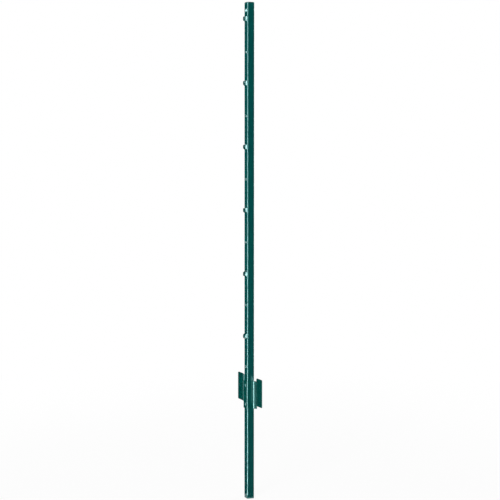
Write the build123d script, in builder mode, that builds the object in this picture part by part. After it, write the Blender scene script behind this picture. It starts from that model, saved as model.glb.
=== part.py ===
from build123d import *
import os
from math import cos, radians, sin, tan

# U-channel fence post with lanced wire hooks and a riveted anchor plate, in millimetres.
# +X runs across the web, the hooks stand out of its -Y face, and +Z is up. The origin is
# the middle of the web's outer face, at the end that goes into the ground.

os.makedirs("parts", exist_ok=True)

# Post section: a flat web and two flanges that open outwards
post_length = 1206.5
post_sheet = 1.9
web_width = 16.8
flange_length = 17.1
flange_splay = 12.0
post_bend_inner = 1.2
flange_tip_round = 0.5

# Pattern along the web, measured down from the top end
pattern_pitch = 152.4
hook_count = 6
hooks_open_upwards = 4
first_hook_drop = 40.0
hole_below_hook = 77.0
tie_hole_radius = 3.0
top_hole_drop = 19.0
top_hole_radius = 4.0

# Lanced hook tongues and the windows they leave
window_width = 9.0
window_height = 14.0
window_end_round = 3.2
tongue_side_gap = 0.5
tongue_proud = 5.5
tongue_rise = 13.2
tongue_lean = 55.0
tongue_bend_inner = 1.2
tongue_tip_round = 2.6

# Anchor plate: a strap folded round the post with a wing on each side
plate_sheet = 1.9
plate_middle_height = 259.0
plate_height = 68.0
plate_half_width = 63.5
wing_lift = 11.0
wing_step = 6.2
step_start = 24.0
step_end = 36.5
strap_gap = 0.15
strap_bend_inner = 2.0
wing_bend_front = 7.0
step_bend = 8.0
outline_blend = 9.0
plate_corner_round = 3.0

# Rivets through the strap and the web
rivet_radius = 2.5
rivet_spacing = 46.0
rivet_head_radius = 4.6
rivet_head_height = 2.1
rivet_tail_radius = 3.9
rivet_tail_height = 1.8
rivet_tail_chamfer = 0.5

# Cutters run this far past the faces they cut
cut_margin = 1.0

splay = radians(flange_splay)
half_web = web_width / 2
flange_depth = flange_length * cos(splay)
tip_half_width = half_web + flange_length * sin(splay)

hook_heights = [post_length - first_hook_drop - n * pattern_pitch for n in range(hook_count)]
tie_hole_heights = [height - hole_below_hook for height in hook_heights]
rivet_heights = {
    "rivet_upper": plate_middle_height + rivet_spacing / 2,
    "rivet_lower": plate_middle_height - rivet_spacing / 2,
}


def flange_face_x(y, clear):
    """X of a line parallel to the flange's outer face, at distance clear outside it."""
    return half_web + clear / cos(splay) + y * tan(splay)


# One tongue, rooted at the origin's height and rising with its free end upwards.
# Its side view is the outer face's line, thickened by the sheet towards the web.
lean = radians(tongue_lean)
bend_outer = tongue_bend_inner + post_sheet
bend_tangent = tan(lean / 2)
lean_base = tongue_bend_inner * bend_tangent
lean_top = lean_base + tongue_proud / tan(lean)
with BuildPart() as tongue:
    with BuildSketch(Plane.YZ) as tongue_side:
        with BuildLine() as tongue_line:
            FilletPolyline(
                (0, -cut_margin),
                (0, lean_base),
                (-tongue_proud, lean_top),
                (-tongue_proud, tongue_rise),
                radius=[tongue_bend_inner, bend_outer],
            )
            offset(amount=post_sheet, side=Side.RIGHT, closed=True)
        make_face()
    extrude(amount=window_width / 2 - tongue_side_gap, both=True)
    tip_edges = tongue.edges().filter_by(Axis.Y).group_by(Axis.Z)[-1]
    fillet(tip_edges, tongue_tip_round)

with BuildPart() as post:
    # Section: the outer faces' line, thickened inwards by the sheet
    with BuildSketch() as section:
        with BuildLine() as section_line:
            FilletPolyline(
                (-tip_half_width, flange_depth),
                (-half_web, 0),
                (half_web, 0),
                (tip_half_width, flange_depth),
                radius=post_bend_inner + post_sheet,
            )
            offset(amount=post_sheet, side=Side.LEFT, closed=True)
        make_face()
        tips = section.vertices().sort_by(Axis.Y)[-4:]
        fillet(tips, flange_tip_round)
    extrude(amount=post_length)

    # Windows, tie holes, top hole and rivet holes, cut through the web
    with BuildSketch(Plane.XZ.offset(cut_margin)) as cuts:
        for index, height in enumerate(hook_heights):
            opens_up = index < hooks_open_upwards
            with Locations((0, height)):
                Rectangle(window_width, window_height)
            window_ends = cuts.vertices(Select.LAST).group_by(Axis.Y)
            fillet(window_ends[-1 if opens_up else 0], window_end_round)
        with Locations(*[(0, height) for height in tie_hole_heights]):
            Circle(tie_hole_radius)
        with Locations((0, post_length - top_hole_drop)):
            Circle(top_hole_radius)
        with Locations(*[(0, height) for height in rivet_heights.values()]):
            Circle(rivet_radius)
    extrude(amount=-(post_sheet + 2 * cut_margin), mode=Mode.SUBTRACT)

    # Tongues: the upper ones open upwards, the rest are turned end for end
    for index, height in enumerate(hook_heights):
        if index < hooks_open_upwards:
            with Locations((0, 0, height - window_height / 2)):
                add(tongue.part)
        else:
            with Locations((0, 0, height + window_height / 2)):
                add(mirror(tongue.part, about=Plane.XY, mode=Mode.PRIVATE))
post.part.label = "post"
export_step(post.part, "parts/post.step")

# Anchor plate: the folded section seen from above, cut to the outline seen from the front
strap_clear = strap_gap + plate_sheet
wing_front = flange_depth
outer_front = wing_front - wing_step
plate_top = plate_middle_height + plate_height / 2
plate_bottom = plate_middle_height - plate_height / 2
right_fold = [
    (flange_face_x(-plate_sheet, strap_clear), -plate_sheet),
    (flange_face_x(wing_front, strap_clear), wing_front),
    (step_start, wing_front),
    (step_end, outer_front),
    (plate_half_width, outer_front),
]
fold_radii = [strap_bend_inner + plate_sheet, wing_bend_front, step_bend, step_bend]
with BuildPart() as anchor_plate:
    with BuildSketch(Plane.XY.offset(plate_bottom)) as fold:
        with BuildLine() as fold_line:
            FilletPolyline(
                *[(-x, y) for x, y in reversed(right_fold)],
                *right_fold,
                radius=[*reversed(fold_radii), *fold_radii],
            )
            offset(amount=plate_sheet, side=Side.LEFT, closed=True)
        make_face()
    extrude(amount=plate_height + wing_lift)

    with BuildSketch(Plane.XZ.offset(plate_sheet + cut_margin)) as outline:
        with BuildLine() as outline_line:
            half_top = [
                (step_start, plate_top),
                (step_end, plate_top + wing_lift),
                (plate_half_width, plate_top + wing_lift),
            ]
            right_edge = half_top + [(x, z - plate_height) for x, z in reversed(half_top)]
            left_edge = [(-x, z) for x, z in reversed(right_edge)]
            Polyline(*right_edge, *left_edge, close=True)
        make_face()
        corners = outline.vertices().group_by(Axis.X)
        fillet([*corners[0], *corners[-1]], plate_corner_round)
        fillet([v for group in corners[1:-1] for v in group], outline_blend)
    extrude(amount=-(flange_depth + 2 * (plate_sheet + cut_margin)), mode=Mode.INTERSECT)

    with BuildSketch(Plane.XZ.offset(plate_sheet + cut_margin)) as rivet_cuts:
        with Locations(*[(0, height) for height in rivet_heights.values()]):
            Circle(rivet_radius)
    extrude(amount=-(plate_sheet + 2 * cut_margin), mode=Mode.SUBTRACT)
anchor_plate.part.label = "anchor_plate"
export_step(anchor_plate.part, "parts/anchor_plate.step")

# Rivets: domed head on the strap, shank through both sheets, upset tail in the channel
head_seat = -plate_sheet
tail_seat = post_sheet
for name, height in rivet_heights.items():
    with BuildPart() as rivet:
        with BuildSketch(Plane.XY.offset(height)) as half_profile:
            with BuildLine() as rivet_line:
                ThreePointArc(
                    (0, head_seat - rivet_head_height),
                    (0.72 * rivet_head_radius, head_seat - 0.62 * rivet_head_height),
                    (rivet_head_radius, head_seat),
                )
                Polyline(
                    (rivet_head_radius, head_seat),
                    (rivet_radius, head_seat),
                    (rivet_radius, tail_seat),
                    (rivet_tail_radius, tail_seat),
                    (rivet_tail_radius, tail_seat + rivet_tail_height - rivet_tail_chamfer),
                    (rivet_tail_radius - rivet_tail_chamfer, tail_seat + rivet_tail_height),
                    (0, tail_seat + rivet_tail_height),
                    (0, head_seat - rivet_head_height),
                )
            make_face()
        revolve(axis=Axis((0, 0, height), (0, 1, 0)))
    rivet.part.label = name
    export_step(rivet.part, f"parts/{name}.step")
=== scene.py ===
import math

import bpy
import numpy as np
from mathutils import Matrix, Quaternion, Vector


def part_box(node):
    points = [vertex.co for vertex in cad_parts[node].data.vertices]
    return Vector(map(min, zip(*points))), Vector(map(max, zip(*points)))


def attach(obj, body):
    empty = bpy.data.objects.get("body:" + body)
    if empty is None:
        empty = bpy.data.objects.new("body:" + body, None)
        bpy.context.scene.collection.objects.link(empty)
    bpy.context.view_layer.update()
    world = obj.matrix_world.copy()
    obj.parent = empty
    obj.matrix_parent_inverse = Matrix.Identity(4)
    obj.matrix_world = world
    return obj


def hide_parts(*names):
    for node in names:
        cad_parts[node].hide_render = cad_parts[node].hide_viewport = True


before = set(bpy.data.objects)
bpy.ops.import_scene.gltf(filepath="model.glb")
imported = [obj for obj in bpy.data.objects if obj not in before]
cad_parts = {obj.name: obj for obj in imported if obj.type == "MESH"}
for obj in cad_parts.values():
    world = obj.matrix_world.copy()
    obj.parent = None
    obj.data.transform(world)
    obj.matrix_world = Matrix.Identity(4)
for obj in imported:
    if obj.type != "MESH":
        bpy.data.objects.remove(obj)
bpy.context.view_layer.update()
millimetre = 0.001      # sizes and points below are in millimetres until makePiece
print("frame loaded:", sorted(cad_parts))


# Camera

cameraSetup = {
    # metres and degrees, with lens and sensor in millimetres, all fitted to the photograph
    "azimuthDeg": 62.97,    # 0 looks along +Y, 90 looks along -X
    "elevationDeg": 4.33,
    "distance": 2.603,
    "aimSideways": 0.0032,
    "aimHeight": 0.6136,
    "aimDepth": 0.008,
    "rollDeg": 0.029,
    "lens": 77.13,
    "sensor": 36.0,
    "sight": 100.0,         # nothing farther off is drawn
}


def directionFrom(azimuthDeg, elevationDeg):
    # unit vector from the post towards a camera or lamp: (sin a cos e, -cos a cos e, sin e)
    azimuth = math.radians(azimuthDeg)
    elevation = math.radians(elevationDeg)
    level = math.cos(elevation)
    return Vector((math.sin(azimuth) * level, -math.cos(azimuth) * level, math.sin(elevation)))


def makeCamera(setup):
    # The camera stands back from its aim along the unit vector and looks along its opposite,
    # rolled about it. The aim lies sideways of the post's middle, square to the view.
    azimuth = math.radians(setup["azimuthDeg"])
    aim = Vector((0, setup["aimDepth"], setup["aimHeight"]))
    aim += setup["aimSideways"] * Vector((math.cos(azimuth), math.sin(azimuth), 0))
    back = directionFrom(setup["azimuthDeg"], setup["elevationDeg"])
    data = bpy.data.cameras.new("camera")
    data.lens = setup["lens"]
    data.sensor_width = setup["sensor"]
    data.clip_end = setup["sight"]
    camera = bpy.data.objects.new("camera", data)
    camera.location = aim + setup["distance"] * back
    turn = Quaternion(back, math.radians(setup["rollDeg"])) @ (-back).to_track_quat("-Z", "Y")
    camera.rotation_euler = turn.to_euler()
    bpy.context.scene.collection.objects.link(camera)
    bpy.context.scene.camera = camera


# Node helpers

def linear(hexColour):
    # sRGB hex to a linear colour with alpha 1: dark shares over 12.92, and the rest as
    # ((c + 0.055) / 1.055) to the power of 2.4
    parts = [int(hexColour[i:i + 2], 16) / 255 for i in (1, 3, 5)]
    return [c / 12.92 if c <= 0.04045 else ((c + 0.055) / 1.055) ** 2.4 for c in parts] + [1.0]


def addNode(tree, kind, settings=None, links=None):
    # settings name the node's own attributes or its sockets, links give sockets their outputs
    node = tree.nodes.new(kind)
    for name, value in (settings or {}).items():
        if isinstance(name, str) and hasattr(node, name):
            setattr(node, name, value)
        else:
            node.inputs[name].default_value = value
    for name, output in (links or {}).items():
        tree.links.new(output, node.inputs[name])
    return node


def newTree(owner):
    # an empty node tree for a material or the world
    owner.use_nodes = True
    owner.node_tree.nodes.clear()
    return owner.node_tree


def seenOrMirrored(tree):
    # 1 for camera, glossy and transmission rays, 0 for the light that falls on surfaces
    path = addNode(tree, "ShaderNodeLightPath").outputs
    first = addNode(tree, "ShaderNodeMath", {"operation": "MAXIMUM"},
                    {0: path["Is Camera Ray"], 1: path["Is Glossy Ray"]})
    return addNode(tree, "ShaderNodeMath", {"operation": "MAXIMUM"},
                   {0: first.outputs[0], 1: path["Is Transmission Ray"]}).outputs[0]


# Studio: white room, pale floor and lamps

studio = {
    # lengths in metres
    "ambient": 0.05,            # strength of the room's light on surfaces
    "floorHalf": 40.0,
    "floorPaper": "#e9e9e9",
    "glowNear": 0.93,           # share of plain white in the floor's look beside the post
    "glowFar": 1.0,             # and from fadeEnd outwards, where no shadow falls
    "fadeStart": 0.5,
    "fadeEnd": 1.8,
}


def makeRoom(settings):
    # a white world, at full strength where it is seen or mirrored and else at ambient
    world = bpy.data.worlds.new("whiteRoom")
    bpy.context.scene.world = world
    tree = newTree(world)
    strength = addNode(tree, "ShaderNodeMapRange", {"To Min": settings["ambient"], "To Max": 1.0},
                       {"Value": seenOrMirrored(tree)})
    light = addNode(tree, "ShaderNodeBackground", {"Color": (1, 1, 1, 1)},
                    {"Strength": strength.outputs["Result"]})
    addNode(tree, "ShaderNodeOutputWorld", links={"Surface": light.outputs[0]})


def makeFloor(settings):
    # Matt paper mixed with plain white. The white's share rises smoothly with the distance
    # from the post, and is 0 for the light that falls on surfaces.
    half = settings["floorHalf"]
    corners = [(-half, -half, 0), (half, -half, 0), (half, half, 0), (-half, half, 0)]
    mesh = bpy.data.meshes.new("floor")
    mesh.from_pydata(corners, [], [(0, 1, 2, 3)])
    floor = bpy.data.objects.new("floor", mesh)
    bpy.context.scene.collection.objects.link(floor)

    paper = bpy.data.materials.new("matt white studio paper")
    tree = newTree(paper)
    place = addNode(tree, "ShaderNodeTexCoord").outputs["Object"]
    reach = addNode(tree, "ShaderNodeVectorMath", {"operation": "LENGTH"}, {0: place})
    glow = addNode(tree, "ShaderNodeMapRange",
                   {"interpolation_type": "SMOOTHSTEP", "From Min": settings["fadeStart"],
                    "From Max": settings["fadeEnd"], "To Min": settings["glowNear"],
                    "To Max": settings["glowFar"]},
                   {"Value": reach.outputs["Value"]})
    share = addNode(tree, "ShaderNodeMath", {"operation": "MULTIPLY"},
                    {0: seenOrMirrored(tree), 1: glow.outputs["Result"]})
    matt = addNode(tree, "ShaderNodeBsdfDiffuse", {"Color": linear(settings["floorPaper"])})
    white = addNode(tree, "ShaderNodeEmission", {"Color": (1, 1, 1, 1), "Strength": 1.0})
    look = addNode(tree, "ShaderNodeMixShader",
                   links={0: share.outputs[0], 1: matt.outputs[0], 2: white.outputs[0]})
    addNode(tree, "ShaderNodeOutputMaterial", links={"Surface": look.outputs[0]})
    mesh.materials.append(paper)


# Lamps and cards, in metres, degrees and watts. One with a distance stands upright there and
# faces the post; one with near and far lies on the floor between them and faces up.

# lamps that only reflections see: they draw the bright lines on bends and edges
lineLamps = {
    # mirrored by the corner between web and near flange
    "cornerHigh": {"azimuthDeg": 34, "distance": 1.3, "low": 0.6, "high": 1.7,
                   "width": 0.26, "power": 22.5},
    "cornerLow": {"azimuthDeg": 34, "distance": 1.3, "low": 0.0, "high": 0.6,
                  "width": 0.3, "power": 15.8},
    # the same line carried on along the floor, for the post's lower part
    "cornerFloorFoot": {"azimuthDeg": 34, "near": 0.02, "far": 0.12, "width": 0.025, "power": 0.12},
    "cornerFloorNear": {"azimuthDeg": 34, "near": 0.12, "far": 0.35, "width": 0.06, "power": 1.2},
    "cornerFloorMiddle": {"azimuthDeg": 34, "near": 0.35, "far": 0.7, "width": 0.15, "power": 4.7},
    "cornerFloorFar": {"azimuthDeg": 34, "near": 0.7, "far": 1.25, "width": 0.28, "power": 12.9},
    # mirrored by the steps of the anchor plate's wings
    "wingPanel": {"azimuthDeg": -12, "near": 0.85, "far": 1.7, "width": 0.3, "power": 3.0},
    # behind, mirrored by the far flange and seen through windows and holes
    "windowStrip": {"azimuthDeg": 140.5, "distance": 1.1, "low": 0.02, "high": 1.27,
                    "width": 0.17, "power": 22.6},
    "topGlint": {"azimuthDeg": 141, "distance": 1.1, "low": 1.335, "high": 1.46,
                 "width": 0.2, "power": 6.3},
}

# soft boxes on three sides, which give every face about the light that shows its colour as it
# is, and which no reflection sees
softBoxes = {
    "rightBox": {"azimuthDeg": 38, "distance": 2.4, "low": 0.3, "high": 2.3, "width": 0.9, "power": 64},
    "leftBox": {"azimuthDeg": -80, "distance": 2.4, "low": 0.3, "high": 2.3, "width": 0.9, "power": 45},
    "rearBox": {"azimuthDeg": 180, "distance": 2.4, "low": 0.3, "high": 2.3, "width": 1.2, "power": 50},
}

# black cards, as a photographer sets them: an upright one and one on the floor before it keep
# the white room out of the near flange's reflections, and two more out of the web's
cards = {
    "flangeCard": {"azimuthDeg": 92, "distance": 0.08, "width": 0.075, "height": 1.6},
    "flangeFloorCard": {"azimuthDeg": 92, "near": 0.013, "far": 0.08,
                        "nearWidth": 0.04, "farWidth": 0.075},
    "webCard": {"azimuthDeg": -80, "distance": 1.0, "width": 1.68, "height": 2.4},
    "webFloorCard": {"azimuthDeg": -80, "near": 0.02, "far": 1.0,
                     "nearWidth": 0.05, "farWidth": 1.68},
}
cardBlack = "#101010"
floorLift = {"card": 0.003, "lamp": 0.004}      # so that the lying ones clear the floor


def makeLamps(settings, mirrored):
    # only reflections see a mirrored lamp, and they don't see the others
    for name, lamp in settings.items():
        lies = "near" in lamp
        towards = directionFrom(lamp["azimuthDeg"], 0)
        start, end = (lamp["near"], lamp["far"]) if lies else (lamp["low"], lamp["high"])
        middle = (start + end) / 2
        data = bpy.data.lights.new(name, "AREA")
        data.shape = "RECTANGLE"
        data.size = lamp["width"]
        data.size_y = end - start
        data.energy = lamp["power"]
        item = bpy.data.objects.new(name, data)
        if lies:
            item.location = towards * middle + Vector((0, 0, floorLift["lamp"]))
            item.rotation_euler = (math.pi, 0, math.radians(lamp["azimuthDeg"]))
        else:
            item.location = towards * lamp["distance"] + Vector((0, 0, middle))
            item.rotation_euler = (-towards).to_track_quat("-Z", "Y").to_euler()
        item.visible_camera = False
        item.visible_diffuse = not mirrored
        item.visible_glossy = mirrored
        bpy.context.scene.collection.objects.link(item)


def makeCards(settings):
    # rectangles, and trapezia on the floor, that nothing but a reflection sees
    black = bpy.data.materials.new("black flocked card")
    tree = newTree(black)
    flock = addNode(tree, "ShaderNodeBsdfDiffuse", {"Color": linear(cardBlack)})
    addNode(tree, "ShaderNodeOutputMaterial", links={"Surface": flock.outputs[0]})
    for name, card in settings.items():
        towards = directionFrom(card["azimuthDeg"], 0)
        across = Vector((-towards.y, towards.x, 0)) / 2     # times a width, reaches to its side
        if "near" in card:
            lift = Vector((0, 0, floorLift["card"]))
            near, far = towards * card["near"] + lift, towards * card["far"] + lift
            corners = [near - across * card["nearWidth"], near + across * card["nearWidth"],
                       far + across * card["farWidth"], far - across * card["farWidth"]]
        else:
            middle = towards * card["distance"]
            side = across * card["width"]
            top = Vector((0, 0, card["height"]))
            corners = [middle - side, middle + side, middle + side + top, middle - side + top]
        mesh = bpy.data.meshes.new(name)
        mesh.from_pydata(corners, [], [(0, 1, 2, 3)])
        mesh.materials.append(black)
        item = bpy.data.objects.new(name, mesh)
        item.visible_camera = False
        item.visible_diffuse = False
        item.visible_shadow = False
        item.visible_transmission = False
        bpy.context.scene.collection.objects.link(item)


bpy.context.scene.view_settings.view_transform = "Standard"
makeCamera(cameraSetup)
makeRoom(studio)
makeFloor(studio)
makeLamps(lineLamps, True)
makeLamps(softBoxes, False)
makeCards(cards)
print("studio ready")


# Powder-coated steel: a polyester powder melted over bare sheet. It gives a deep, even
# blue-green with an orange-peel ripple, a little thinner and paler along sheared edges.

powder = {
    # what the three coats share
    "thinCoat": "#1d625e",
    "plainAt": 0.3,         # the patches' noise up to which the coat is plain,
    "thickAt": 0.75,        # and from which it is at its thickest
    "patchDetail": 3.0,
    "lineDetail": 1.0,
    "peelDetail": 2.0,
    "hollow": 0.35,         # the ripple's noise in its hollows,
    "crest": 0.65,          # and on its crests
    "dulled": 0.03,         # what the ripple's hollows add to the roughness
    "reliefStrength": 0.6,
    "ior": 1.5,
    "specularTint": "#c6ffff",
}

postLook = {
    # the post is roll-formed, which leaves faint straight lines along it that the coat softens
    "colour": "#004747",
    "thickCoat": "#004c47",
    "patchSize": 60.0,      # mm across the patches where the powder lies thicker
    "edgeShare": 0.6,       # how far the sheared edges go towards thinCoat
    "roughness": 0.17,
    "specular": 0.45,
    "bendSpecular": 1.0,
    "peelSize": 2.2,        # mm between ripples
    "peelHeight": 0.01,     # mm
    "lineSize": 0.9,        # mm between the rolls' lines
    "lineLength": 140.0,    # how many times longer than that the lines are
    "lineHeight": 0.004,    # mm
}

plateLook = {
    # the plate is pressed from flat strip: faint short marks, and a coarser, thicker coat
    "colour": "#004844",
    "thickCoat": "#004e46",
    "patchSize": 35.0,
    "edgeShare": 0.6,
    "roughness": 0.18,
    "specular": 0.4,
    "bendSpecular": 0.7,
    "peelSize": 2.8,
    "peelHeight": 0.014,
    "lineSize": 2.6,
    "lineLength": 9.0,
    "lineHeight": 0.003,
}

rivetLook = {
    # the rivets are cold-headed and coated in place: smooth domes with a fine ripple
    "colour": "#00484a",
    "thickCoat": "#004e4b",
    "patchSize": 8.0,
    "edgeShare": 0.4,
    "roughness": 0.18,
    "specular": 0.45,
    "bendSpecular": 1.0,
    "peelSize": 1.6,
    "peelHeight": 0.008,
    "lineSize": 1.2,
    "lineLength": 3.0,
    "lineHeight": 0.002,
}


def noise(tree, size, detail, place):
    # noise with lumps size mm across
    settings = {"Scale": 1 / (size * millimetre), "Detail": detail}
    return addNode(tree, "ShaderNodeTexNoise", settings, {"Vector": place}).outputs["Fac"]


def bump(tree, height, links):
    # a relief height mm deep
    settings = {"Strength": powder["reliefStrength"], "Distance": height * millimetre}
    return addNode(tree, "ShaderNodeBump", settings, links).outputs["Normal"]


def powderCoatedSteel(name, look):
    # one coat over steel: its colour, relief and gloss vary with noise, its shine with the bends
    material = bpy.data.materials.new(name)
    tree = newTree(material)
    place = addNode(tree, "ShaderNodeTexCoord").outputs["Object"]

    # tone: broad patches where the powder lies thicker, and the thin coat of the edges
    patches = noise(tree, look["patchSize"], powder["patchDetail"], place)
    tone = addNode(tree, "ShaderNodeValToRGB", links={"Fac": patches})
    plain, thick = tone.color_ramp.elements
    plain.position = powder["plainAt"]
    plain.color = linear(look["colour"])
    thick.position = powder["thickAt"]
    thick.color = linear(look["thickCoat"])
    edge = addNode(tree, "ShaderNodeAttribute", {"attribute_name": "sharpness"})
    thin = addNode(tree, "ShaderNodeMath", {"operation": "MULTIPLY", 1: look["edgeShare"]},
                   {0: edge.outputs["Fac"]})
    colour = addNode(tree, "ShaderNodeMixRGB", {"Color2": linear(powder["thinCoat"])},
                     {"Fac": thin.outputs[0], "Color1": tone.outputs["Color"]})

    # relief: lines drawn out along the post, under the ripple of the melted powder
    drawn = addNode(tree, "ShaderNodeMapping",
                    {"vector_type": "TEXTURE", "Scale": (1, 1, look["lineLength"])}, {"Vector": place})
    lines = noise(tree, look["lineSize"], powder["lineDetail"], drawn.outputs[0])
    lineRelief = bump(tree, look["lineHeight"], {"Height": lines})
    ripple = noise(tree, look["peelSize"], powder["peelDetail"], place)
    relief = bump(tree, look["peelHeight"], {"Height": ripple, "Normal": lineRelief})

    # gloss: the ripple's hollows are a little duller than its crests
    gloss = addNode(tree, "ShaderNodeMapRange",
                    {"From Min": powder["hollow"], "From Max": powder["crest"],
                     "To Min": look["roughness"] + powder["dulled"], "To Max": look["roughness"]},
                    {"Value": ripple})

    # shine: the coat is drawn tighter over the bends, and mirrors more there than on the flats
    bend = addNode(tree, "ShaderNodeAttribute", {"attribute_name": "bend"})
    shine = addNode(tree, "ShaderNodeMapRange",
                    {"To Min": look["specular"], "To Max": look["bendSpecular"]},
                    {"Value": bend.outputs["Fac"]})

    shader = addNode(tree, "ShaderNodeBsdfPrincipled",
                     {"IOR": powder["ior"], "Specular Tint": linear(powder["specularTint"])},
                     {"Base Color": colour.outputs[0], "Roughness": gloss.outputs["Result"],
                      "Specular IOR Level": shine.outputs["Result"], "Normal": relief})
    addNode(tree, "ShaderNodeOutputMaterial", links={"Surface": shader.outputs[0]})
    return material


# Surface helpers. A surface is (points, faces) with four corners to a face.

rimSteps = 3            # faces round each quarter circle that softens a sheared edge
cornerSteps = 8         # and round the larger corners of an outline
weldDigits = 5          # points closer than about this decimal become one
stationDigits = 6       # and places along a line
tiny = 1e-12            # keeps a division by a length of nought out


def quads(rows, columns, closed):
    # faces of a grid stored row by row; closed joins each row's last point to its first
    row = np.arange(rows - 1)[:, None]
    column = np.arange(columns if closed else columns - 1)[None, :]
    following = (column + 1) % columns
    corners = [row * columns + column, row * columns + following,
               (row + 1) * columns + following, (row + 1) * columns + column]
    return np.stack(corners, -1).reshape(-1, 4)


def grid(points, closed=False, flip=False):
    # a rows x columns x 3 array as a surface; its front is where across x up the rows points
    faces = quads(points.shape[0], points.shape[1], closed)
    return points.reshape(-1, 3), faces[:, ::-1] if flip else faces


def spread(flat, heights):
    # flat (n x 2, x and y) repeated at each height
    rows = [np.broadcast_to(flat[None, :, i], (len(heights), len(flat))) for i in (0, 1)]
    return np.stack([*rows, np.broadcast_to(heights[:, None], rows[0].shape)], -1)


def weld(surfaces):
    # points that share a place become one, which closes the seams
    starts = np.cumsum([0] + [len(points) for points, faces in surfaces[:-1]])
    points = np.concatenate([points for points, faces in surfaces])
    faces = np.concatenate([surface[1] + start for surface, start in zip(surfaces, starts)])
    keys = np.round(points, weldDigits) + 0.0       # adding nought makes -0 and 0 the same
    first, which = np.unique(keys, axis=0, return_index=True, return_inverse=True)[1:]
    return points[first], which.reshape(-1)[faces]


def unit(vectors):
    # each row divided by its length
    return vectors / np.maximum(np.linalg.norm(vectors, axis=1, keepdims=True), tiny)


def faceVectors(points, faces):
    # each face's normal, twice as long as the face has area: the cross product of its diagonals
    a, b, c, d = (points[faces[:, i]] for i in range(4))
    return np.cross(c - a, d - b)


def sumAtPoints(vectors, faces, points):
    # for each point, the sum of its faces' vectors
    total = np.zeros_like(points)
    for corner in faces.T:
        np.add.at(total, corner, vectors)
    return total


def pointNormals(points, faces):
    # each point's faces, weighted by their area, so that flat sheet stays flat up to a rounded edge
    return unit(sumAtPoints(faceVectors(points, faces), faces, points))


def fanning(points, faces):
    # how far a point's faces fan out: the length that the mean of their unit normals has lost
    total = sumAtPoints(unit(faceVectors(points, faces)), faces, points)
    count = np.bincount(faces.reshape(-1), minlength=len(points))
    return 1 - np.linalg.norm(total, axis=1) / count


# where each attribute starts and is full: rolled bends, and sheared edges, which fan out more
fanRanges = {"bend": (0.0006, 0.0012), "sharpness": (0.01, 0.03)}


def makePiece(name, surfaces, node, material):
    # One piece from surfaces that weld to closed shells. A face whose corners have run together
    # keeps those that differ, and is left out if they are fewer than three. Each attribute is
    # how far the fanning has come from the start of its range to the end.
    points, faces = weld(surfaces)
    corners = [list(dict.fromkeys(face)) for face in faces.tolist()]
    mesh = bpy.data.meshes.new(name)
    mesh.from_pydata((points * millimetre).tolist(), [], [face for face in corners if len(face) > 2])
    mesh.shade_smooth()
    mesh.normals_split_custom_set_from_vertices(pointNormals(points, faces).tolist())
    fan = fanning(points, faces)
    for attribute, (start, full) in fanRanges.items():
        share = mesh.attributes.new(attribute, "FLOAT", "POINT")
        share.data.foreach_set("value", np.clip((fan - start) / (full - start), 0, 1).astype(np.float32))
    mesh.materials.append(material)
    piece = bpy.data.objects.new(name, mesh)
    bpy.context.scene.collection.objects.link(piece)
    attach(piece, "root")
    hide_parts(node)
    print(name, "has", len(mesh.polygons), "faces")


def foldLine(corners, radii, steps):
    # A polyline with its inner corners rounded: points and unit directions along it.
    # Arc: centre + radius * (sin a, -cos a), a turning from the first leg's heading to the next's.
    corners = np.array(corners, float)
    legs = np.diff(corners, axis=0)
    legs /= np.linalg.norm(legs, axis=1, keepdims=True)
    points = [corners[:1]]
    directions = [legs[:1]]
    for corner, radius, before, after in zip(corners[1:-1], radii, legs[:-1], legs[1:]):
        turn = math.atan2(before[0] * after[1] - before[1] * after[0], before @ after)
        headings = math.atan2(before[1], before[0]) + np.linspace(0, turn, steps + 1)[:, None]
        start = corner - before * radius * math.tan(abs(turn) / 2)
        reach = math.copysign(radius, turn)
        centre = start + reach * np.array([-before[1], before[0]])
        points.append(centre + reach * np.hstack([np.sin(headings), -np.cos(headings)]))
        directions.append(np.hstack([np.cos(headings), np.sin(headings)]))
    points.append(corners[-1:])
    directions.append(legs[-1:])
    return np.concatenate(points), np.concatenate(directions)


def leftOf(directions):
    # unit directions turned a quarter to the left: (x, y) becomes (-y, x)
    return np.stack([-directions[:, 1], directions[:, 0]], 1)


def endRound(gap, radius):
    # How far a quarter circle has drawn an edge in at a distance gap from the end it runs to:
    # radius less the root of radius squared minus (radius - gap) squared, and 0 farther inside.
    return radius - np.sqrt(radius ** 2 - np.clip(radius - gap, 0, radius) ** 2)


def endStations(length, radius, steps):
    # places along a line near its end that divide such a quarter circle evenly
    return length - radius + radius * np.sin(np.linspace(0, math.pi / 2, steps + 1))


def refine(line, directions, extra):
    # adds points to a line at the lengths in extra; gives all points, directions and lengths
    lengths = np.concatenate([[0], np.cumsum(np.linalg.norm(np.diff(line, axis=0), axis=1))])
    headings = np.unwrap(np.arctan2(directions[:, 1], directions[:, 0]))
    extra = np.round(np.clip(extra, 0, lengths[-1]), stationDigits)
    along = np.union1d(np.round(lengths, stationDigits), extra)
    points = np.stack([np.interp(along, lengths, line[:, i]) for i in (0, 1)], 1)
    turned = np.interp(along, lengths, headings)
    return points, np.stack([np.cos(turned), np.sin(turned)], 1), along


def strip(line, behind, low, high, inset, sheet, rim):
    # A strip of sheet carried along its front line. The section runs from the line to sheet
    # behind it and from low to high across; its corners are arcs of radius rim - inset about
    # centres that lie rim inside. Gives places in the line's plane, and places across.
    quarter = np.radians(np.linspace(0, 90, rimSteps + 1))
    angles = np.concatenate([quarter + turn for turn in np.radians([180, 270, 0, 90])])
    atBack = np.repeat([0, 1, 1, 0], rimSteps + 1)
    atHigh = np.repeat([0, 0, 1, 1], rimSteps + 1)
    radius = (rim - inset)[:, None]
    depth = np.where(atBack, sheet - rim, rim) + radius * np.cos(angles)
    across = np.where(atHigh, high[:, None] - rim, low[:, None] + rim) + radius * np.sin(angles)
    return line[:, None, :] + depth[:, :, None] * behind[:, None, :], across


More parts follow.
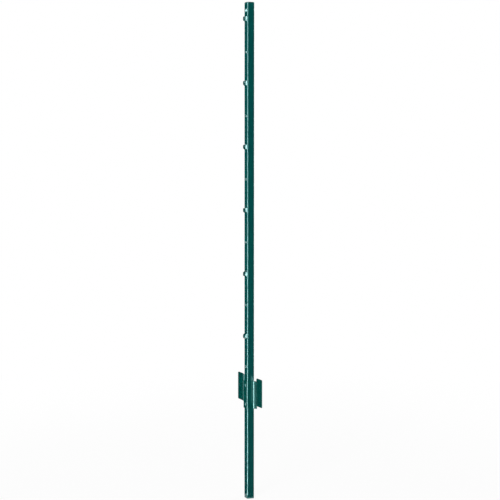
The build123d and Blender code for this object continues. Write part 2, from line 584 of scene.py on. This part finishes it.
def closedStrip(points, flip):
    # a strip's loops, one to a station, with each end closed from its low to its high side
    lows = points.shape[1] // 2
    start, end = (np.stack([loop[:lows], loop[:lows - 1:-1]]) for loop in (points[0], points[-1]))
    return [grid(points, closed=True, flip=flip), grid(start, flip=not flip), grid(end, flip=flip)]


# Post: one roll-formed sheet with windows, holes and lanced tongues

postSizes = {
    "sheet": 1.9,
    "halfWeb": 8.4,
    "flangeLength": 17.1,
    "splayDeg": 12.0,
    "bendOuter": 3.1,
    "bendSteps": 12,
    "tipRound": 0.5,
    "rim": 0.3,             # sheared edges, softened by the coat
    "pitch": 152.4,
    "hooks": 6,
    "openUp": 4,
    "firstHookDrop": 40.0,
    "holeBelowHook": 77.0,
    "tieHoleRadius": 3.0,
    "topHoleDrop": 19.0,
    "topHoleRadius": 4.0,
    "windowHalfWidth": 4.5,
    "windowHalfHeight": 7.0,
    "windowFreeRound": 3.2,
    "windowRootRound": 0.4,
    "tongueHalfWidth": 4.0,
    "tongueProud": 5.5,
    "tongueRise": 13.2,
    "tongueLeanDeg": 55.0,
    "tongueBendInner": 1.2,
    "tongueTipRound": 2.6,
    "tongueSunk": 0.05,     # the tongue's root lies this far inside the window's edge
    "cellColumns": 10,      # steps across a cell of the web, and up it
    "cellRows": 12,
    "cellMargin": 1.7,      # web above and below a hole in its cell
}
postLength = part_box("post")[1][2] / millimetre


def flangeSection(sizes, inset):
    # Outer and inner line of one side, from the web's end round the bend to the flange's tip,
    # both moved inset into the sheet. The tip's corners are arcs of radius tipRound - inset.
    splay = math.radians(sizes["splayDeg"])
    length = sizes["flangeLength"]
    corners = [(0, 0), (sizes["halfWeb"], 0),
               (sizes["halfWeb"] + length * math.sin(splay), length * math.cos(splay))]
    line, directions = foldLine(corners, [sizes["bendOuter"]], sizes["bendSteps"])
    line, directions = line[1:], directions[1:]
    quarter = np.linspace(0, math.pi / 2, rimSteps + 1)[:, None]
    radius = sizes["tipRound"] - inset
    last = directions[-1]
    tipLine = line[-1] - last * (sizes["tipRound"] - radius * np.sin(quarter))
    tipDepth = sizes["tipRound"] - radius * np.cos(quarter)
    places = np.concatenate([line[:-1], tipLine])
    inwards = leftOf(np.concatenate([directions[:-1], np.repeat(last[None], len(tipLine), 0)]))
    depth = np.concatenate([np.full((len(line) - 1, 1), inset), tipDepth])
    return places + inwards * depth, places + inwards * (sizes["sheet"] - depth)


def sectionLoop(sizes, inset):
    # the whole section: outer line from the left tip to the right one, and the inner line
    outer, inner = flangeSection(sizes, inset)
    halfFlat = outer[0, 0]
    flat = np.linspace(-halfFlat, halfFlat, sizes["cellColumns"] + 1)[1:-1]
    mirror = np.array([-1, 1])
    lines = []
    for side, depth in ((outer, inset), (inner, sizes["sheet"] - inset)):
        web = np.stack([flat, np.full(len(flat), depth)], 1)
        lines.append(np.concatenate([side[::-1] * mirror, web, side]))
    return lines


def postEnds(sizes, length):
    # rows that follow a quarter circle of radius rim, then the flat end between the two lines
    rim = sizes["rim"]
    surfaces = []
    turns = np.linspace(0, math.pi / 2, rimSteps + 1)
    for end, sign in ((0.0, 1), (length, -1)):
        rows = []
        for turn in turns:
            outer, inner = sectionLoop(sizes, rim * (1 - math.cos(turn)))
            height = np.array([end + sign * rim * (1 - math.sin(turn))])
            rows.append(spread(np.concatenate([outer, inner[::-1]]), height)[0])
        surfaces.append(grid(np.stack(rows), closed=True, flip=sign > 0))
        cap = np.stack([spread(line, height)[0] for line in (outer, inner)])
        surfaces.append(grid(cap, flip=sign > 0))
    return surfaces


def cellBorder(halfWidth, halfHeight, columns, rows):
    # points round a cell, anticlockwise from its lower left corner as seen from the front
    across = np.linspace(-halfWidth, halfWidth, columns + 1)
    up = np.linspace(-halfHeight, halfHeight, rows + 1)
    sides = [(across[:-1], np.full(columns, -halfHeight)), (np.full(rows, halfWidth), up[:-1]),
             (across[:0:-1], np.full(columns, halfHeight)), (np.full(rows, -halfWidth), up[:0:-1])]
    return np.concatenate([np.stack(side, 1) for side in sides])


def roundHole(border, radius, rim):
    # The border's points drawn in along their rays to the circle. Gives the hole's points,
    # the unit directions from it into the sheet, and the rim at each.
    outwards = border / np.linalg.norm(border, axis=1, keepdims=True)
    return radius * outwards, outwards, np.full((len(border), 1), rim)


def windowHole(border, free, sizes):
    # The border shrunk to the window's box, then each point set radius from the nearest place
    # that lies radius inside the box. free is 1 where the free end is up, -1 where it is down.
    # Gives what roundHole gives, with a rim of 0 where the tongue grows out of the edge.
    half = np.array([sizes["windowHalfWidth"], sizes["windowHalfHeight"]])
    box = border * half / np.abs(border).max(0)
    atFreeEnd = box[:, 1:] * free > 0
    radius = np.where(atFreeEnd, sizes["windowFreeRound"], sizes["windowRootRound"])
    centre = np.clip(box, radius - half, half - radius)
    outwards = (box - centre) / np.linalg.norm(box - centre, axis=1, keepdims=True)
    atRootEdge = np.isclose(box[:, 1:] * free, -half[1])
    atRoot = (np.abs(box[:, :1]) <= sizes["tongueHalfWidth"]) & atRootEdge
    return centre + radius * outwards, outwards, np.where(atRoot, 0.0, sizes["rim"])


def holedCell(height, border, hole, outwards, rim, sheet):
    # Loops from the border to two thirds of the way over the front face, then round a quarter
    # circle of radius rim into the hole, down its wall, and the same again out over the back.
    rows = [(border, 0 * rim), ((border + 2 * (hole + outwards * rim)) / 3, 0 * rim)]
    for turn in np.linspace(0, math.pi / 2, rimSteps + 1):
        rows.append((hole + outwards * rim * (1 - math.sin(turn)), rim * (1 - math.cos(turn))))
    rows += [(place, sheet - depth) for place, depth in reversed(rows)]
    return grid(np.stack([np.concatenate([place[:, :1], depth, place[:, 1:] + height], 1)
                          for place, depth in rows]), closed=True)


def tongueSurfaces(height, free, sizes):
    # The sheet carried up the tongue's front line, in the plane of y and z: up out of the
    # window's edge, leaning out, then upright to the free end, whose corners are rounded.
    lean = math.radians(sizes["tongueLeanDeg"])
    inner = sizes["tongueBendInner"]
    leanBase = inner * math.tan(lean / 2)
    leanTop = leanBase + sizes["tongueProud"] / math.tan(lean)
    corners = [(0, -sizes["tongueSunk"]), (0, leanBase), (-sizes["tongueProud"], leanTop),
               (-sizes["tongueProud"], sizes["tongueRise"])]
    line, directions = foldLine(corners, [inner, inner + sizes["sheet"]], sizes["bendSteps"])
    length = np.linalg.norm(np.diff(line, axis=0), axis=1).sum()
    extra = np.concatenate([endStations(length, sizes["tongueTipRound"], cornerSteps),
                            endStations(length, sizes["rim"], rimSteps)])
    line, directions, along = refine(line, directions, extra)
    gap = along[-1] - along
    half = sizes["tongueHalfWidth"] - endRound(gap, sizes["tongueTipRound"])
    places, across = strip(line, -leftOf(directions), -half, half, endRound(gap, sizes["rim"]),
                           sizes["sheet"], sizes["rim"])
    root = height - free * sizes["windowHalfHeight"]
    points = np.stack([across, places[:, :, 0], root + free * places[:, :, 1]], -1)
    return closedStrip(points, flip=free > 0)


def postSurfaces(sizes, length):
    # Each cut has a cell of the web to itself, between bands of plain web. The sides, from
    # the web round the bend to the tip and back, have a row at every height where one ends.
    outer, inner = flangeSection(sizes, 0.0)
    side = np.concatenate([outer, inner[::-1]])
    halfFlat = outer[0, 0]
    columns, rows, sheet = sizes["cellColumns"], sizes["cellRows"], sizes["sheet"]

    hooks = length - sizes["firstHookDrop"] - sizes["pitch"] * np.arange(sizes["hooks"])
    frees = np.where(np.arange(sizes["hooks"]) < sizes["openUp"], 1, -1)
    cuts = [(height, sizes["windowHalfHeight"], free) for height, free in zip(hooks, frees)]
    cuts += [(height, sizes["tieHoleRadius"], 0) for height in hooks - sizes["holeBelowHook"]]
    cuts.append((length - sizes["topHoleDrop"], sizes["topHoleRadius"], 0))

    surfaces = postEnds(sizes, length)
    stations = [np.array([sizes["rim"], length - sizes["rim"]])]
    for height, reach, free in cuts:
        half = reach + sizes["cellMargin"]
        border = cellBorder(halfFlat, half, columns, rows)
        if free:
            cut = windowHole(border, free, sizes)
            surfaces += tongueSurfaces(height, free, sizes)
        else:
            cut = roundHole(border, reach, sizes["rim"])
        surfaces.append(holedCell(height, border, *cut, sheet))
        stations.append(height + np.linspace(-half, half, rows + 1))

    # plain web between the cells, front and back
    edges = np.sort(np.concatenate([stations[0]] + [station[[0, -1]] for station in stations[1:]]))
    flat = np.linspace(-halfFlat, halfFlat, columns + 1)
    for low, high in edges.reshape(-1, 2):
        for depth in (0.0, sheet):
            web = np.stack([flat, np.full(len(flat), depth)], 1)
            surfaces.append(grid(spread(web, np.array([low, high])), flip=depth > 0))

    heights = np.unique(np.round(np.concatenate(stations), stationDigits))
    surfaces.append(grid(spread(side, heights)))
    surfaces.append(grid(spread(side * np.array([-1, 1]), heights), flip=True))
    return surfaces


# Anchor plate: a strap folded round the post, with a stepped wing on each side

plateSizes = {
    "sheet": 1.9,
    "middle": 259.0,
    "height": 68.0,
    "halfWidth": 63.5,
    "wingLift": 11.0,
    "wingStep": 6.2,
    "stepStart": 24.0,
    "stepEnd": 36.5,
    "strapGap": 0.15,
    "strapBendInner": 2.0,
    "wingBend": 7.0,
    "stepBend": 8.0,
    "outlineBlend": 9.0,
    "cornerRound": 3.0,
    "rim": 0.3,
    "bendSteps": 12,
    "spacing": 2.0,         # between places along the sheet
}


def plateSurfaces(sizes, post):
    # The fold as seen from above, carried as a strip whose low and high edges follow the
    # outline as seen from the front.
    splay = math.radians(post["splayDeg"])
    wingFront = post["flangeLength"] * math.cos(splay)
    clear = sizes["strapGap"] + sizes["sheet"]

    def besideFlange(y):
        # x of the strap's face at depth y, parallel to the flange
        return post["halfWeb"] + clear / math.cos(splay) + y * math.tan(splay)

    half = [(besideFlange(-sizes["sheet"]), -sizes["sheet"]), (besideFlange(wingFront), wingFront),
            (sizes["stepStart"], wingFront), (sizes["stepEnd"], wingFront - sizes["wingStep"]),
            (sizes["halfWidth"], wingFront - sizes["wingStep"])]
    radii = [sizes["strapBendInner"] + sizes["sheet"], sizes["wingBend"],
             sizes["stepBend"], sizes["stepBend"]]
    corners = [(-x, y) for x, y in reversed(half)] + half
    line, directions = foldLine(corners, radii[::-1] + radii, sizes["bendSteps"])
    length = np.linalg.norm(np.diff(line, axis=0), axis=1).sum()
    ends = np.concatenate([endStations(length, sizes["cornerRound"], cornerSteps),
                           endStations(length, sizes["rim"], rimSteps)])
    extra = np.concatenate([np.arange(0, length, sizes["spacing"]), ends, length - ends])
    line, directions, along = refine(line, directions, extra)

    # outline from the front: level, up over the step, level again, with rounded corners
    slope = foldLine([(0, 0), (sizes["stepStart"], 0), (sizes["stepEnd"], sizes["wingLift"]),
                      (sizes["halfWidth"], sizes["wingLift"])],
                     [sizes["outlineBlend"]] * 2, cornerSteps)[0]
    reach = np.abs(line[:, 0])
    middle = sizes["middle"] + np.interp(reach, slope[:, 0], slope[:, 1])
    drawn = endRound(sizes["halfWidth"] - reach, sizes["cornerRound"])
    gap = np.minimum(along, along[-1] - along)
    places, across = strip(line, leftOf(directions), middle - sizes["height"] / 2 + drawn,
                           middle + sizes["height"] / 2 - drawn, endRound(gap, sizes["rim"]),
                           sizes["sheet"], sizes["rim"])
    return closedStrip(np.stack([places[:, :, 0], places[:, :, 1], across], -1), flip=False)


# Rivets: domed head on the strap, shank through both sheets, upset tail in the channel

rivetSizes = {
    "heights": {"rivet_upper": 282.0, "rivet_lower": 236.0},
    "headRadius": 4.6,
    "headHeight": 2.1,
    "headRim": 0.35,
    "shankRadius": 2.5,
    "tailRadius": 3.9,
    "tailHeight": 1.8,
    "tailRound": 0.6,
    "domeSteps": 12,
    "tailSteps": 4,
    "around": 48,
}


def rivetSurface(height, sizes, sheet):
    # Profile (radius, y) turned about the rivet's axis. Head: an ellipse's quarter that ends in
    # a small rim. Tail: a disc with a rounded edge.
    turns = np.linspace(0, math.pi / 2, sizes["domeSteps"] + 1)
    headFace = -sheet
    domeFoot = headFace - sizes["headRim"]
    domeHeight = sizes["headHeight"] - sizes["headRim"]
    dome = np.stack([sizes["headRadius"] * np.sin(turns), domeFoot - domeHeight * np.cos(turns)], 1)
    turns = np.linspace(0, math.pi / 2, sizes["tailSteps"] + 1)
    edge = sizes["tailRadius"] - sizes["tailRound"]
    tailEnd = sheet + sizes["tailHeight"]
    tail = np.stack([edge + sizes["tailRound"] * np.cos(turns),
                     tailEnd - sizes["tailRound"] * (1 - np.sin(turns))], 1)
    shank = [(sizes["headRadius"], headFace), (sizes["shankRadius"], headFace),
             (sizes["shankRadius"], sheet), (sizes["tailRadius"], sheet)]
    profile = np.concatenate([dome, shank, tail, [(0.0, tailEnd)]])
    around = np.linspace(0, 2 * math.pi, sizes["around"], endpoint=False)
    radius, depth = profile[:, :1], profile[:, 1:]
    points = np.stack([radius * np.cos(around), depth + 0 * around, height + radius * np.sin(around)], -1)
    return grid(points, closed=True, flip=True)


rolledSteel = powderCoatedSteel("powder-coated roll-formed steel", postLook)
pressedSteel = powderCoatedSteel("powder-coated pressed steel", plateLook)
headedSteel = powderCoatedSteel("powder-coated cold-headed steel", rivetLook)
makePiece("postShell", postSurfaces(postSizes, postLength), "post", rolledSteel)
makePiece("anchorPlateSheet", plateSurfaces(plateSizes, postSizes), "anchor_plate",
          pressedSteel)
for node, name in (("rivet_upper", "upperRivet"), ("rivet_lower", "lowerRivet")):
    surface = rivetSurface(rivetSizes["heights"][node], rivetSizes, plateSizes["sheet"])
    makePiece(name, [surface], node, headedSteel)
print("pieces made")
